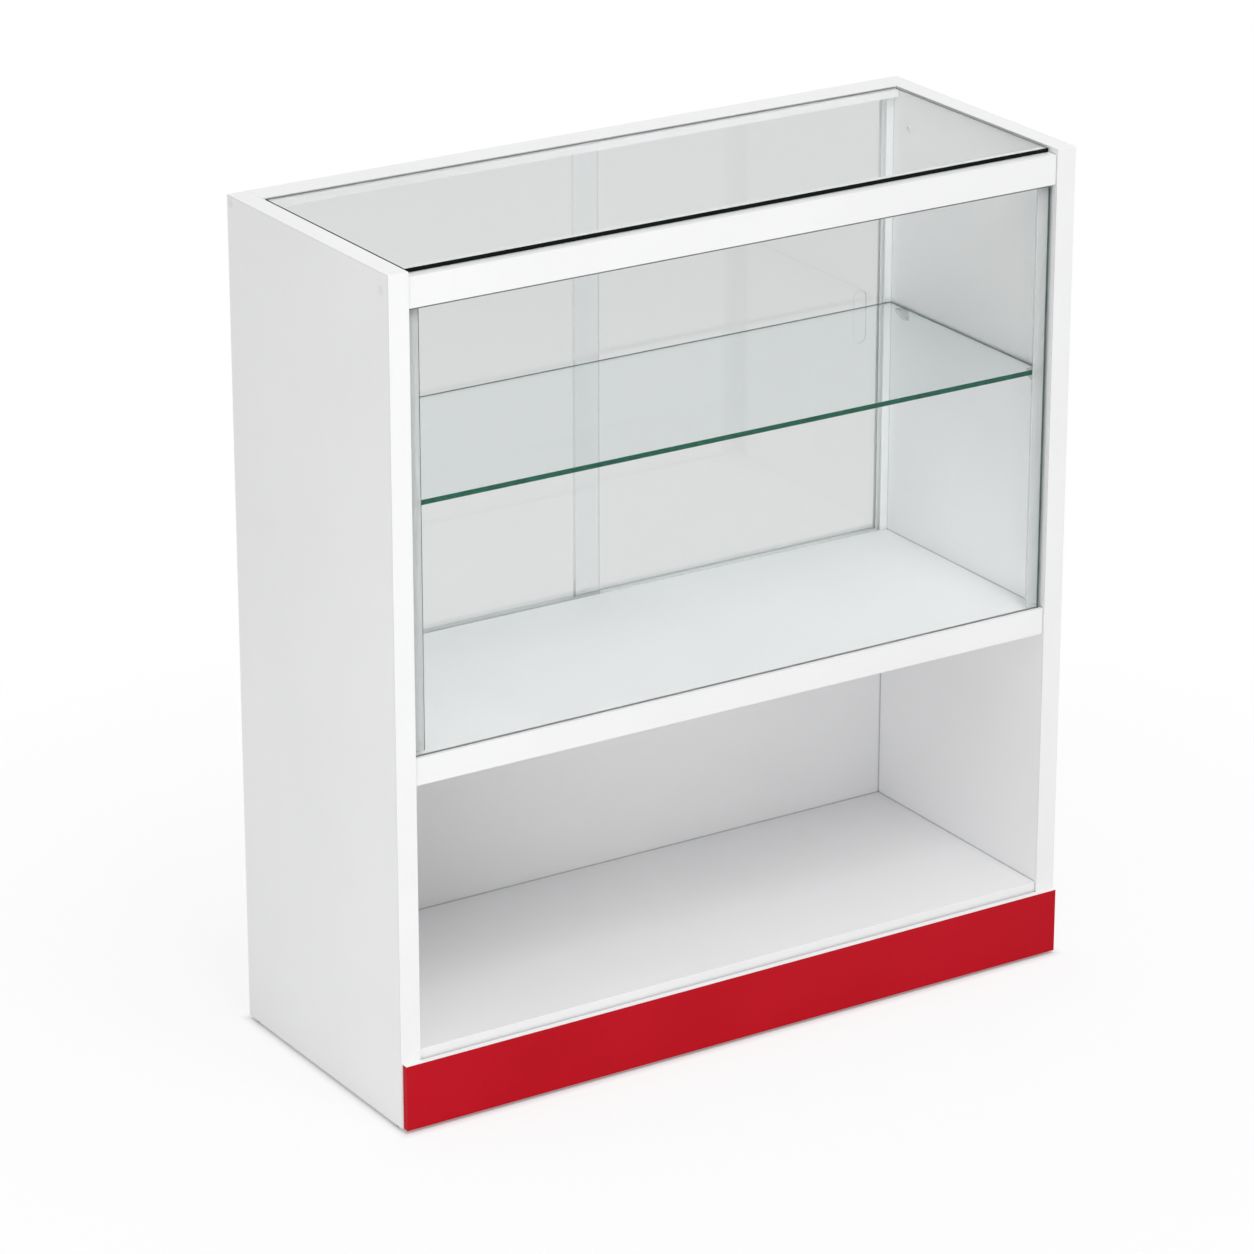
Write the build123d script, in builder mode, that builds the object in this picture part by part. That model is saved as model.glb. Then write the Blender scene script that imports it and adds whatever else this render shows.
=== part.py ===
from build123d import *
import os

# Glass display counter: two side panels with boards and rails between them, a glazed
# display above with two sliding glass doors at its rear, and an open shelf space below.
# Millimetres. X runs along the counter, Y from front to rear, Z upwards.
# The origin is on the ground under the middle of the counter.

# Overall size, from the ground to the panels' tops and from kick board to rear edges
counter_width = 900
counter_depth = 360
counter_height = 1000

# Side panels
panel_thickness = 25
edging_thickness = 1

# Glides under the side panels
glide_height = 4
glide_diameter = 20
glide_inset = 16
glide_chamfer = 0.8
nail_diameter = 2.4
nail_length = 18
nail_head_diameter = 6
nail_head_thickness = 1
nail_head_recess = 2

# Kick board
kick_thickness = 8
kick_height = 79
kick_end_inset = 2

# Boards between the side panels
board_front_setback = 3
board_rear_setback = 3
floor_top = 444
floor_thickness = 32
base_top = 95
base_thickness = 25
back_thickness = 18
back_inset = 4
plinth_thickness = 18

# Top rails
front_rail_depth = 25
front_rail_height = 35
rear_rail_depth = 35
rear_rail_thickness = 16
rear_rail_ledge = 6

# Fixed glass
top_glass_thickness = 5
top_glass_drop = 1
top_glass_front_margin = 11
top_glass_rear_clearance = 1
top_glass_side_gap = 3
pad_thickness = 1
pad_length = 20
pad_width = 4
pad_pitch = 300
front_glass_thickness = 5
front_glass_setback = 5
front_glass_side_gap = 3
front_groove_play = 0.2
front_rail_groove_depth = 8
front_floor_groove_depth = 6
front_glass_top_play = 2
glass_arris = 0.5

# Clear angle beads behind the front glass
bead_leg_depth = 24
bead_leg_thickness = 2
bead_flange_width = 18
bead_flange_thickness = 1.5
bead_foot_gap = 4

# Glass shelf and its supports
shelf_rise = 291
shelf_thickness = 6
shelf_side_gap = 3
shelf_front_gap = 7
shelf_rear_gap = 3
peg_front_distance = 15
peg_rear_distance = 31
spare_socket_drop = 8
socket_diameter = 8
socket_length = 9
socket_flange_diameter = 9.6
socket_flange_thickness = 1
socket_bore_diameter = 5
socket_hole_play = 0.05
peg_pin_diameter = 4.9
peg_pin_length = 8
peg_pin_drop = 7
peg_arm_length = 12
peg_arm_thickness = 2
peg_back_height = 14
peg_back_thickness = 2.5
peg_width = 10
bead_hole_play = 0.4

# Sliding doors and the double-channel profile that guides them
channel_width = 7
profile_wall = 1.5
profile_rail_margin = 4
lower_track_height = 5.5
upper_track_height = 10
jamb_depth = 10
profile_groove_play = 0.05
door_thickness = 5
door_overlap = 30
door_foot_play = 0.3
door_top_engagement = 4.2
door_side_play = 0.4
grip_length = 70
grip_width = 18
grip_depth = 1.5
grip_edge_distance = 34

# Knock-down fittings of the two horizontal boards
cam_diameter = 15
cam_depth = 12.5
cam_play = 0.1
cam_slot_length = 10
cam_slot_width = 2.5
cam_slot_depth = 2
cam_edge_distance = 60
bolt_diameter = 6
bolt_reach = 34
bolt_seat = 11
bolt_play = 0.1
bolt_tip_depth = 4

# Dowels
dowel_diameter = 8
dowel_length = 30
dowel_seat = 11
dowel_play = 0.05
dowel_edge_distance = 100
small_dowel_diameter = 6
small_dowel_rear_distance = 7

# Screws through the side panels into the top rails, with their cover caps
rail_screw_diameter = 5
rail_screw_length = 50
rail_screw_head_diameter = 8
rail_screw_head_height = 3
rail_screw_play = 0.1
rail_screw_rear_distance = 7.5
cap_diameter = 10
cap_thickness = 1
cap_play = 0.1

# Steel angles that hold the kick board, and their screws
angle_thickness = 2
angle_leg = 30
angle_width = 20
angle_pitch = 300
angle_screw_diameter = 3.5
angle_screw_head_diameter = 7
angle_screw_head_height = 2
angle_screw_offset = 20
angle_screw_pitch = 10
angle_screw_board_length = 12
angle_screw_kick_length = 6
angle_hole_play = 0.25
pilot_play = 0.05

# Places worked out from the sizes above
side_x = counter_width / 2
inner_x = side_x - panel_thickness
kick_front = -counter_depth / 2
panel_front = kick_front + kick_thickness
panel_rear = counter_depth / 2
kick_top = glide_height + kick_height
board_front = panel_front + board_front_setback
board_rear = panel_rear - board_rear_setback
floor_bottom = floor_top - floor_thickness
base_bottom = base_top - base_thickness
glass_seat = counter_height - top_glass_drop - top_glass_thickness - pad_thickness
front_rail_rear = board_front + front_rail_depth
front_rail_bottom = glass_seat - front_rail_height
rear_rail_front = panel_rear - rear_rail_depth
rear_rail_bottom = counter_height - rear_rail_thickness
ledge_front = rear_rail_front - rear_rail_ledge
top_glass_front = board_front + top_glass_front_margin
top_glass_rear = rear_rail_front - top_glass_rear_clearance
top_glass_bottom = glass_seat + pad_thickness
front_glass_front = board_front + front_glass_setback
front_glass_rear = front_glass_front + front_glass_thickness
front_glass_bottom = floor_top - front_floor_groove_depth
front_glass_top = front_rail_bottom + front_rail_groove_depth - front_glass_top_play
back_rear = board_rear - back_inset
back_front = back_rear - back_thickness
profile_depth = 2 * channel_width + 3 * profile_wall
profile_front = rear_rail_front + profile_rail_margin
profile_rear = profile_front + profile_depth
shelf_top = floor_top + shelf_rise
shelf_bottom = shelf_top - shelf_thickness
shelf_front = front_glass_rear + shelf_front_gap
shelf_rear = profile_front - shelf_rear_gap
peg_front = front_glass_rear + peg_front_distance
peg_rear = profile_front - peg_rear_distance
peg_height = shelf_bottom - peg_pin_drop
spare_socket_height = front_rail_bottom - spare_socket_drop
lower_track_bottom = floor_top - lower_track_height
upper_track_top = rear_rail_bottom + upper_track_height
door_bottom = lower_track_bottom + profile_wall + door_foot_play
door_top = rear_rail_bottom + door_top_engagement
door_outer_x = inner_x - profile_wall - door_side_play
front_channel_middle = profile_front + profile_wall + channel_width / 2
rear_channel_middle = front_channel_middle + channel_width + profile_wall
door_travel = door_outer_x - door_overlap / 2
grip_height = (door_bottom + door_top) / 2

plinth_middle = board_rear - plinth_thickness / 2
back_middle = (back_front + back_rear) / 2
front_rail_middle = (board_front + front_rail_rear) / 2
front_screw_height = (front_rail_bottom + front_rail_groove_depth + glass_seat) / 2
rear_screw_y = panel_rear - rail_screw_rear_distance
rear_screw_height = counter_height - rear_rail_thickness / 2
rail_screw_places = ((front_rail_middle, front_screw_height), (rear_screw_y, rear_screw_height))

cam_board_heights = (floor_bottom + floor_thickness / 2, base_bottom + base_thickness / 2)
cam_rows = (board_front + cam_edge_distance, board_rear - cam_edge_distance)
cam_places = [(y, z) for z in cam_board_heights for y in cam_rows]
dowel_rows = (board_front + dowel_edge_distance, board_rear - dowel_edge_distance)
back_dowel_heights = (base_top + dowel_edge_distance, floor_bottom - dowel_edge_distance)
plinth_dowel_height = (glide_height + base_bottom) / 2
board_dowel_places = [(y, z) for z in cam_board_heights for y in dowel_rows]
back_dowel_places = [(back_middle, z) for z in back_dowel_heights]
plinth_dowel_places = [(plinth_middle, plinth_dowel_height)]
dowel_places = board_dowel_places + back_dowel_places + plinth_dowel_places
small_dowel_height = front_rail_bottom + front_rail_groove_depth
small_dowel_places = [(front_rail_rear - small_dowel_rear_distance, small_dowel_height)]

socket_places = [(y, z) for z in (peg_height, spare_socket_height) for y in (peg_front, peg_rear)]
peg_places = [(y, peg_height) for y in (peg_front, peg_rear)]
glide_places = (panel_front + glide_inset, panel_rear - glide_inset)
angle_places = (-angle_pitch, 0, angle_pitch)
sides = (-1, 1)

os.makedirs("parts", exist_ok=True)


def block(left, right, front, rear, bottom, top, mode=Mode.ADD):
    """Add or cut a straight block between three pairs of planes."""
    with BuildSketch(Plane.XY.offset(bottom)) as outline:
        with Locations(((left + right) / 2, (front + rear) / 2)):
            Rectangle(right - left, rear - front)
    extrude(outline.sketch, amount=top - bottom, mode=mode)


def rod(start_x, end_x, y, z, diameter, mode=Mode.ADD):
    """Add or cut a round rod that lies along X."""
    with BuildSketch(Plane(origin=(start_x, y, z), z_dir=(end_x - start_x, 0, 0))) as circle:
        Circle(diameter / 2)
    extrude(circle.sketch, amount=abs(end_x - start_x), mode=mode)


def upright_rod(x, y, bottom, top, diameter, mode=Mode.ADD):
    """Add or cut a round rod that stands along Z."""
    with BuildSketch(Plane.XY.offset(bottom)) as circle:
        with Locations((x, y)):
            Circle(diameter / 2)
    extrude(circle.sketch, amount=top - bottom, mode=mode)


def keep(piece, name):
    """Label a finished piece and write it to its own file."""
    piece.label = name
    export_step(piece, f"parts/{name}.step")


def drill_board_ends(places, diameter, depth):
    """Drill both ends of a board along X at each (y, z) place."""
    for side in sides:
        for y, z in places:
            rod(side * inner_x, side * (inner_x - depth), y, z, diameter, mode=Mode.SUBTRACT)


# Left side panel: a board on edge, drilled from inside for dowels, bolts and shelf sockets,
# and from outside for the screws of the top rails.
with BuildPart() as left_side_panel:
    block(
        -side_x, -inner_x,
        panel_front + edging_thickness, panel_rear - edging_thickness,
        glide_height, counter_height - edging_thickness,
    )
    for y, z in dowel_places:
        rod(-inner_x, -inner_x - dowel_seat, y, z, dowel_diameter + 2 * dowel_play, Mode.SUBTRACT)
    for y, z in small_dowel_places:
        rod(-inner_x, -inner_x - dowel_seat, y, z, small_dowel_diameter + 2 * dowel_play, Mode.SUBTRACT)
    for y, z in cam_places:
        rod(-inner_x, -inner_x - bolt_seat, y, z, bolt_diameter + 2 * bolt_play, Mode.SUBTRACT)
    for y, z in socket_places:
        socket_hole = socket_diameter + 2 * socket_hole_play
        rod(-inner_x, -inner_x - socket_length, y, z, socket_hole, Mode.SUBTRACT)
    for y, z in rail_screw_places:
        head_inner = side_x - cap_thickness - rail_screw_head_height
        rod(-side_x, -inner_x, y, z, rail_screw_diameter + 2 * rail_screw_play, Mode.SUBTRACT)
        rod(-side_x, -head_inner, y, z, rail_screw_head_diameter + 2 * rail_screw_play, Mode.SUBTRACT)
        rod(-side_x, -side_x + cap_thickness, y, z, cap_diameter + 2 * cap_play, Mode.SUBTRACT)
    for y in glide_places:
        upright_rod(
            -side_x + panel_thickness / 2, y,
            glide_height, nail_head_recess + nail_length,
            nail_diameter + 2 * pilot_play, Mode.SUBTRACT,
        )
keep(left_side_panel.part, "left_side_panel")

with BuildPart() as right_side_panel:
    mirror(left_side_panel.part, about=Plane.YZ)
keep(right_side_panel.part, "right_side_panel")

# Edging glued round the front, rear and top edges of each side panel
with BuildPart() as left_panel_edging:
    block(-side_x, -inner_x, panel_front, panel_front + edging_thickness, glide_height, counter_height)
    block(-side_x, -inner_x, panel_rear - edging_thickness, panel_rear, glide_height, counter_height)
with BuildPart() as left_panel_top_edging:
    block(
        -side_x, -inner_x,
        panel_front + edging_thickness, panel_rear - edging_thickness,
        counter_height - edging_thickness, counter_height,
    )
keep(left_panel_edging.part, "left_panel_edging")
keep(left_panel_top_edging.part, "left_panel_top_edging")

with BuildPart() as right_panel_edging:
    mirror(left_panel_edging.part, about=Plane.YZ)
keep(right_panel_edging.part, "right_panel_edging")

with BuildPart() as right_panel_top_edging:
    mirror(left_panel_top_edging.part, about=Plane.YZ)
keep(right_panel_top_edging.part, "right_panel_top_edging")

# Front top rail: a board strip on edge with a groove below for the front glass
with BuildPart() as front_top_rail:
    block(-inner_x, inner_x, board_front, front_rail_rear, front_rail_bottom, glass_seat)
    block(
        -inner_x, inner_x,
        front_glass_front - front_groove_play, front_glass_rear + front_groove_play,
        front_rail_bottom, front_rail_bottom + front_rail_groove_depth,
        mode=Mode.SUBTRACT,
    )
    screw_bore = rail_screw_length + cap_thickness - panel_thickness
    drill_board_ends(
        [rail_screw_places[0]], rail_screw_diameter + 2 * rail_screw_play, screw_bore,
    )
    drill_board_ends(
        small_dowel_places, small_dowel_diameter + 2 * dowel_play, dowel_length - dowel_seat,
    )
keep(front_top_rail.part, "front_top_rail")

# Rear top rail: lies flat, with a ledge in front for the top glass and a groove below
# for the upper door track
with BuildPart() as rear_top_rail:
    block(-inner_x, inner_x, ledge_front, panel_rear, rear_rail_bottom, counter_height)
    block(
        -inner_x, inner_x, ledge_front, rear_rail_front,
        glass_seat, counter_height, mode=Mode.SUBTRACT,
    )
    block(
        -inner_x, inner_x,
        profile_front - profile_groove_play, profile_rear + profile_groove_play,
        rear_rail_bottom, upper_track_top,
        mode=Mode.SUBTRACT,
    )
    drill_board_ends(
        [rail_screw_places[1]], rail_screw_diameter + 2 * rail_screw_play, screw_bore,
    )
keep(rear_top_rail.part, "rear_top_rail")

# Display floor: grooved for the front glass and the lower door track, bored from below
# for its cam fittings
with BuildPart() as display_floor:
    block(-inner_x, inner_x, board_front + edging_thickness, board_rear, floor_bottom, floor_top)
    block(
        -inner_x, inner_x,
        front_glass_front - front_groove_play, front_glass_rear + front_groove_play,
        front_glass_bottom, floor_top,
        mode=Mode.SUBTRACT,
    )
    block(
        -inner_x, inner_x,
        profile_front - profile_groove_play, profile_rear + profile_groove_play,
        lower_track_bottom, floor_top,
        mode=Mode.SUBTRACT,
    )
    floor_cam_height = cam_board_heights[0]
    floor_cam_top = floor_cam_height + cam_depth / 2
    drill_board_ends(
        [(y, floor_cam_height) for y in dowel_rows],
        dowel_diameter + 2 * dowel_play, dowel_length - dowel_seat,
    )
    drill_board_ends(
        [(y, floor_cam_height) for y in cam_rows], bolt_diameter + 2 * bolt_play, bolt_reach,
    )
    for side in sides:
        for y in cam_rows:
            upright_rod(
                side * (inner_x - bolt_reach), y,
                floor_bottom, floor_cam_top, cam_diameter + 2 * cam_play,
                mode=Mode.SUBTRACT,
            )
keep(display_floor.part, "display_floor")

# Base board: the floor of the open space, with cam fittings from below and pilot holes
# for the kick board's steel angles
with BuildPart() as base_board:
    block(-inner_x, inner_x, board_front + edging_thickness, board_rear, base_bottom, base_top)
    base_cam_height = cam_board_heights[1]
    base_cam_top = base_cam_height + cam_depth / 2
    drill_board_ends(
        [(y, base_cam_height) for y in dowel_rows],
        dowel_diameter + 2 * dowel_play, dowel_length - dowel_seat,
    )
    drill_board_ends(
        [(y, base_cam_height) for y in cam_rows], bolt_diameter + 2 * bolt_play, bolt_reach,
    )
    for side in sides:
        for y in cam_rows:
            upright_rod(
                side * (inner_x - bolt_reach), y,
                base_bottom, base_cam_top, cam_diameter + 2 * cam_play,
                mode=Mode.SUBTRACT,
            )
    for x in angle_places:
        for shift in (-angle_screw_pitch / 2, angle_screw_pitch / 2):
            upright_rod(
                x + shift, panel_front + angle_screw_offset,
                base_bottom, base_bottom + angle_screw_board_length - angle_thickness,
                angle_screw_diameter + 2 * pilot_play,
                mode=Mode.SUBTRACT,
            )
keep(base_board.part, "base_board")

# Edging on the front edges of the display floor and the base board
with BuildPart() as board_edging:
    for bottom, top in ((floor_bottom, floor_top), (base_bottom, base_top)):
        block(-inner_x, inner_x, board_front, board_front + edging_thickness, bottom, top)
keep(board_edging.part, "board_edging")

# Lower back panel and rear plinth, both dowelled into the side panels
with BuildPart() as lower_back_panel:
    block(-inner_x, inner_x, back_front, back_rear, base_top, floor_bottom)
    drill_board_ends(
        back_dowel_places, dowel_diameter + 2 * dowel_play, dowel_length - dowel_seat,
    )
keep(lower_back_panel.part, "lower_back_panel")

with BuildPart() as rear_plinth:
    block(-inner_x, inner_x, board_rear - plinth_thickness, board_rear, glide_height, base_bottom)
    drill_board_ends(
        plinth_dowel_places, dowel_diameter + 2 * dowel_play, dowel_length - dowel_seat,
    )
keep(rear_plinth.part, "rear_plinth")

# Kick board across the front, over the panels' front edges
with BuildPart() as kick_board:
    kick_x = side_x - kick_end_inset
    block(-kick_x, kick_x, kick_front, panel_front, glide_height, kick_top)
    for x in angle_places:
        for shift in (-angle_screw_pitch / 2, angle_screw_pitch / 2):
            pilot_plane = Plane(
                origin=(x + shift, panel_front, base_bottom - angle_screw_offset), z_dir=(0, 1, 0),
            )
            with Locations(pilot_plane):
                Hole(
                    angle_screw_diameter / 2 + pilot_play,
                    depth=angle_screw_kick_length,
                )
keep(kick_board.part, "kick_board")

# Steel angles between the kick board and the base board
with BuildPart() as kick_board_angles:
    for x in angle_places:
        left = x - angle_width / 2
        right = x + angle_width / 2
        block(
            left, right, panel_front, panel_front + angle_thickness,
            base_bottom - angle_leg, base_bottom,
        )
        block(
            left, right, panel_front, panel_front + angle_leg,
            base_bottom - angle_thickness, base_bottom,
        )
        for shift in (-angle_screw_pitch / 2, angle_screw_pitch / 2):
            upright_rod(
                x + shift, panel_front + angle_screw_offset,
                base_bottom - angle_thickness, base_bottom,
                angle_screw_diameter + 2 * angle_hole_play, mode=Mode.SUBTRACT,
            )
            angle_hole_plane = Plane(
                origin=(x + shift, panel_front + angle_thickness, base_bottom - angle_screw_offset),
                z_dir=(0, 1, 0),
            )
            with Locations(angle_hole_plane):
                Hole(angle_screw_diameter / 2 + angle_hole_play, depth=angle_thickness)
keep(kick_board_angles.part, "kick_board_angles")

with BuildPart() as kick_board_screws:
    for x in angle_places:
        for shift in (-angle_screw_pitch / 2, angle_screw_pitch / 2):
            screw_y = panel_front + angle_screw_offset
            seat_z = base_bottom - angle_thickness
            upright_rod(
                x + shift, screw_y, seat_z, seat_z + angle_screw_board_length, angle_screw_diameter,
            )
            upright_rod(
                x + shift, screw_y, seat_z - angle_screw_head_height, seat_z,
                angle_screw_head_diameter,
            )
            head_plane = Plane(
                origin=(x + shift, panel_front + angle_thickness, base_bottom - angle_screw_offset),
                z_dir=(0, 1, 0),
            )
            with BuildSketch(head_plane) as head:
                Circle(angle_screw_head_diameter / 2)
            extrude(head.sketch, amount=angle_screw_head_height)
            with BuildSketch(head_plane) as shank:
                Circle(angle_screw_diameter / 2)
            extrude(shank.sketch, amount=-(angle_screw_kick_length + angle_thickness))
keep(kick_board_screws.part, "kick_board_screws")

# Glides nailed under the side panels
with BuildPart() as glides:
    for side in sides:
        for y in glide_places:
            x = side * (side_x - panel_thickness / 2)
            upright_rod(x, y, 0, glide_height, glide_diameter)
    chamfer(glides.edges().group_by(Axis.Z)[0], glide_chamfer)
    for side in sides:
        for y in glide_places:
            x = side * (side_x - panel_thickness / 2)
            upright_rod(x, y, 0, glide_height, nail_diameter + 2 * pilot_play, Mode.SUBTRACT)
            upright_rod(
                x, y, 0, nail_head_recess, nail_head_diameter + 2 * pilot_play, Mode.SUBTRACT,
            )
keep(glides.part, "glides")

with BuildPart() as glide_nails:
    for side in sides:
        for y in glide_places:
            x = side * (side_x - panel_thickness / 2)
            upright_rod(x, y, nail_head_recess, nail_head_recess + nail_length, nail_diameter)
            upright_rod(
                x, y, nail_head_recess - nail_head_thickness, nail_head_recess,
                nail_head_diameter,
            )
keep(glide_nails.part, "glide_nails")

# Top glass on clear pads, lying between the side panels
with BuildPart() as top_glass:
    block(
        -inner_x + top_glass_side_gap, inner_x - top_glass_side_gap,
        top_glass_front, top_glass_rear,
        top_glass_bottom, top_glass_bottom + top_glass_thickness,
    )
    chamfer(top_glass.edges(), glass_arris)
keep(top_glass.part, "top_glass")

with BuildPart() as top_glass_pads:
    for x in (-pad_pitch, 0, pad_pitch):
        block(
            x - pad_length / 2, x + pad_length / 2,
            top_glass_front + pad_width, top_glass_front + 2 * pad_width,
            glass_seat, top_glass_bottom,
        )
        block(
            x - pad_length / 2, x + pad_length / 2,
            top_glass_rear - pad_width - glass_arris, top_glass_rear - glass_arris,
            glass_seat, top_glass_bottom,
        )
keep(top_glass_pads.part, "top_glass_pads")

# Front glass, standing in the grooves of the display floor and the front rail
with BuildPart() as front_glass:
    block(
        -inner_x + front_glass_side_gap, inner_x - front_glass_side_gap,
        front_glass_front, front_glass_rear,
        front_glass_bottom, front_glass_top,
    )
    chamfer(front_glass.edges(), glass_arris)
keep(front_glass.part, "front_glass")

# Clear angle bead behind the front glass: one leg on the panel, one behind the glass
with BuildPart() as left_glass_bead:
    block(
        -inner_x, -inner_x + bead_leg_thickness,
        front_glass_rear, front_glass_rear + bead_leg_depth,
        floor_top + bead_foot_gap, front_rail_bottom,
    )
    block(
        -inner_x, -inner_x + bead_flange_width,
        front_glass_rear, front_glass_rear + bead_flange_thickness,
        floor_top + bead_foot_gap, front_rail_bottom,
    )
    for z in (peg_height, spare_socket_height):
        bead_hole = socket_flange_diameter + 2 * bead_hole_play
        rod(-inner_x, -inner_x + bead_leg_thickness, peg_front, z, bead_hole, Mode.SUBTRACT)
    block(
        -inner_x, -inner_x + bead_leg_thickness,
        peg_front - peg_width / 2 - bead_hole_play, peg_front + peg_width / 2 + bead_hole_play,
        shelf_bottom - peg_back_height - bead_hole_play, shelf_bottom + bead_hole_play,
        mode=Mode.SUBTRACT,
    )
keep(left_glass_bead.part, "left_glass_bead")

with BuildPart() as right_glass_bead:
    mirror(left_glass_bead.part, about=Plane.YZ)
keep(right_glass_bead.part, "right_glass_bead")

# Glass shelf on four pegs, which plug into sockets in the side panels
with BuildPart() as glass_shelf:
    block(
        -inner_x + shelf_side_gap, inner_x - shelf_side_gap,
        shelf_front, shelf_rear, shelf_bottom, shelf_top,
    )
    chamfer(glass_shelf.edges(), glass_arris)
keep(glass_shelf.part, "glass_shelf")

with BuildPart() as shelf_sockets:
    for side in sides:
        for y, z in socket_places:
            face_x = side * (inner_x - socket_flange_thickness)
            end_x = side * (inner_x + socket_length)
            rod(side * inner_x, end_x, y, z, socket_diameter)
            rod(face_x, side * inner_x, y, z, socket_flange_diameter)
            rod(face_x, end_x, y, z, socket_bore_diameter, Mode.SUBTRACT)
keep(shelf_sockets.part, "shelf_sockets")

with BuildPart() as shelf_pegs:
    for side in sides:
        for y, z in peg_places:
            back_x = inner_x - socket_flange_thickness
            tip_x = back_x - peg_arm_length
            front_of_back_x = back_x - peg_back_thickness
            with BuildSketch(Plane.XZ.offset(-y)) as bracket:
                with BuildLine():
                    Polyline(
                        (side * back_x, shelf_bottom),
                        (side * tip_x, shelf_bottom),
                        (side * tip_x, shelf_bottom - peg_arm_thickness),
                        (side * front_of_back_x, shelf_bottom - peg_back_height),
                        (side * back_x, shelf_bottom - peg_back_height),
                        close=True,
                    )
                make_face()
            extrude(bracket.sketch, amount=peg_width / 2, both=True)
            rod(side * back_x, side * (back_x + peg_pin_length), y, z, peg_pin_diameter)
keep(shelf_pegs.part, "shelf_pegs")

# Door tracks and jambs: one double-channel section, open towards the doors
with BuildPart() as lower_door_track:
    block(-inner_x, inner_x, profile_front, profile_rear, lower_track_bottom, floor_top)
    for middle in (front_channel_middle, rear_channel_middle):
        block(
            -inner_x, inner_x,
            middle - channel_width / 2, middle + channel_width / 2,
            lower_track_bottom + profile_wall, floor_top,
            mode=Mode.SUBTRACT,
        )
keep(lower_door_track.part, "lower_door_track")

with BuildPart() as upper_door_track:
    block(-inner_x, inner_x, profile_front, profile_rear, rear_rail_bottom, upper_track_top)
    for middle in (front_channel_middle, rear_channel_middle):
        block(
            -inner_x, inner_x,
            middle - channel_width / 2, middle + channel_width / 2,
            rear_rail_bottom, upper_track_top - profile_wall,
            mode=Mode.SUBTRACT,
        )
keep(upper_door_track.part, "upper_door_track")

with BuildPart() as left_door_jamb:
    block(-inner_x, -inner_x + jamb_depth, profile_front, profile_rear, floor_top, rear_rail_bottom)
    for middle in (front_channel_middle, rear_channel_middle):
        block(
            -inner_x + profile_wall, -inner_x + jamb_depth,
            middle - channel_width / 2, middle + channel_width / 2,
            floor_top, rear_rail_bottom,
            mode=Mode.SUBTRACT,
        )
keep(left_door_jamb.part, "left_door_jamb")

with BuildPart() as right_door_jamb:
    mirror(left_door_jamb.part, about=Plane.YZ)
keep(right_door_jamb.part, "right_door_jamb")


def sliding_door(side, middle):
    """One glass door, side -1 for the left one, with a finger grip ground into its rear."""
    inner_edge = -side * door_overlap / 2
    outer_edge = side * door_outer_x
    rear_face = middle + door_thickness / 2
    with BuildPart() as door:
        block(
            min(inner_edge, outer_edge), max(inner_edge, outer_edge),
            middle - door_thickness / 2, rear_face,
            door_bottom, door_top,
        )
        chamfer(door.edges(), glass_arris)
        grip_plane = Plane(
            origin=(side * (door_outer_x - grip_edge_distance), rear_face, grip_height),
            x_dir=(0, 0, 1), z_dir=(0, 1, 0),
        )
        with BuildSketch(grip_plane) as grip:
            SlotOverall(grip_length, grip_width)
        extrude(grip.sketch, amount=-grip_depth, mode=Mode.SUBTRACT)
    return door.part


keep(sliding_door(-1, front_channel_middle), "left_sliding_door")
keep(sliding_door(1, rear_channel_middle), "right_sliding_door")

# Screws through the side panels into the rails, under flush cover caps
with BuildPart() as rail_screws:
    for side in sides:
        for y, z in rail_screw_places:
            head_x = side_x - cap_thickness
            neck_x = head_x - rail_screw_head_height
            rod(side * head_x, side * neck_x, y, z, rail_screw_head_diameter)
            rod(side * neck_x, side * (head_x - rail_screw_length), y, z, rail_screw_diameter)
keep(rail_screws.part, "rail_screws")

with BuildPart() as screw_caps:
    for side in sides:
        for y, z in rail_screw_places:
            rod(side * (side_x - cap_thickness), side * side_x, y, z, cap_diameter)
keep(screw_caps.part, "screw_caps")

# Cam fittings: a bolt out of the panel, drawn in by a cam in the board's underside
with BuildPart() as cam_bolts:
    for side in sides:
        for y, z in cam_places:
            bolt_tip = inner_x - bolt_reach + cam_diameter / 2 - bolt_tip_depth
            rod(side * (inner_x + bolt_seat), side * bolt_tip, y, z, bolt_diameter)
keep(cam_bolts.part, "cam_bolts")

with BuildPart() as cam_discs:
    for side in sides:
        for z in cam_board_heights:
            for y in cam_rows:
                x = side * (inner_x - bolt_reach)
                cam_bottom = z - cam_depth / 2
                upright_rod(x, y, cam_bottom, z + cam_depth / 2, cam_diameter)
                block(
                    x - cam_slot_length / 2, x + cam_slot_length / 2,
                    y - cam_slot_width / 2, y + cam_slot_width / 2,
                    cam_bottom, cam_bottom + cam_slot_depth,
                    mode=Mode.SUBTRACT,
                )
                rod(
                    side * (inner_x - bolt_reach + cam_diameter / 2),
                    side * (inner_x - bolt_reach + cam_diameter / 2 - bolt_tip_depth - bolt_play),
                    y, z, bolt_diameter + 2 * bolt_play,
                    mode=Mode.SUBTRACT,
                )
keep(cam_discs.part, "cam_discs")

# Wooden dowels in the ends of the boards and of the front rail
with BuildPart() as dowels:
    for side in sides:
        for y, z in dowel_places:
            rod(
                side * (inner_x + dowel_seat), side * (inner_x + dowel_seat - dowel_length),
                y, z, dowel_diameter,
            )
        for y, z in small_dowel_places:
            rod(
                side * (inner_x + dowel_seat), side * (inner_x + dowel_seat - dowel_length),
                y, z, small_dowel_diameter,
            )
keep(dowels.part, "dowels")

print("door travel", round(door_travel, 2), "mm")
print("door height", round(door_top - door_bottom, 2), "mm")
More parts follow.
